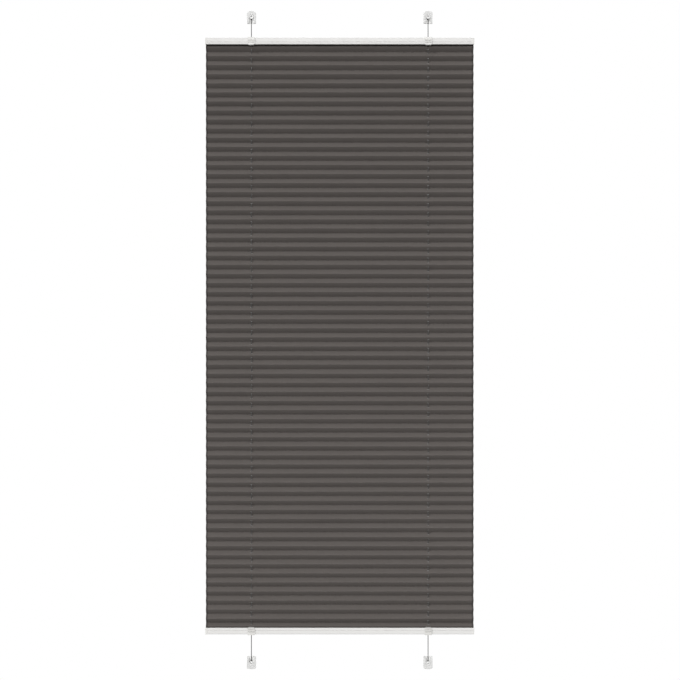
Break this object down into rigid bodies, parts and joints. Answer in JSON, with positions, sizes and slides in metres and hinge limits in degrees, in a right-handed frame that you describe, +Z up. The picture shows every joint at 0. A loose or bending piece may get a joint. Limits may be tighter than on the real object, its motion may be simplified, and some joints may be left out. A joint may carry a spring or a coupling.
{
  "type": "pleated blind",
  "caption": "Pleated window blind: dark folded fabric between slim white rails that slide on taut cords stretched between screw-fixed tension shoes.",
  "frame": {"origin": "middle of the four fixing screws, on the plane of the window frame behind the shoes", "axes": "+Z up along the cords, +X to the right seen from the room, -Y out of the frame towards the room"},
  "size_m": [0.5, 0.0214, 1.2254],
  "materials": {
    "white_rail": "white powder coat, satin",
    "white_plastic": "satin",
    "clip_plastic": "milky, satin",
    "shoe_plastic": "milky, satin",
    "grey_cord": "braided, matte",
    "pleat_fabric": "woven, matte"
  },
  "bodies": {
    "tensioned_cords": {"top_left_tension_shoe": "shoe_plastic", "top_right_tension_shoe": "shoe_plastic", "bottom_left_tension_shoe": "shoe_plastic", "bottom_right_tension_shoe": "shoe_plastic", "top_left_cord_pin": "shoe_plastic", "top_right_cord_pin": "shoe_plastic", "bottom_left_cord_pin": "shoe_plastic", "bottom_right_cord_pin": "shoe_plastic", "left_cord": "grey_cord", "right_cord": "grey_cord"},
    "top_rail_assembly": {"top_rail": "white_rail", "top_fabric_strip": "white_plastic", "top_left_end_cap": "white_plastic", "top_left_cord_guide": "white_plastic", "top_left_grip_clip": "clip_plastic", "top_right_end_cap": "white_plastic", "top_right_cord_guide": "white_plastic", "top_right_grip_clip": "clip_plastic", "pleated_fabric": "pleat_fabric"},
    "bottom_rail_assembly": {"bottom_rail": "white_rail", "bottom_fabric_strip": "white_plastic", "bottom_left_end_cap": "white_plastic", "bottom_left_cord_guide": "white_plastic", "bottom_left_grip_clip": "clip_plastic", "bottom_right_end_cap": "white_plastic", "bottom_right_cord_guide": "white_plastic", "bottom_right_grip_clip": "clip_plastic"}
  },
  "joints": [
    {"name": "top_rail_slide", "type": "slide", "parent": "tensioned_cords", "child": "top_rail_assembly", "axis": [0, 0, 1], "range_m": [-1.029, 0.0265], "deforming": ["pleated_fabric"]},
    {"name": "bottom_rail_slide", "type": "slide", "parent": "tensioned_cords", "child": "bottom_rail_assembly", "axis": [0, 0, 1], "range_m": [-0.041, 1.029], "deforming": ["pleated_fabric"]}
  ]
}
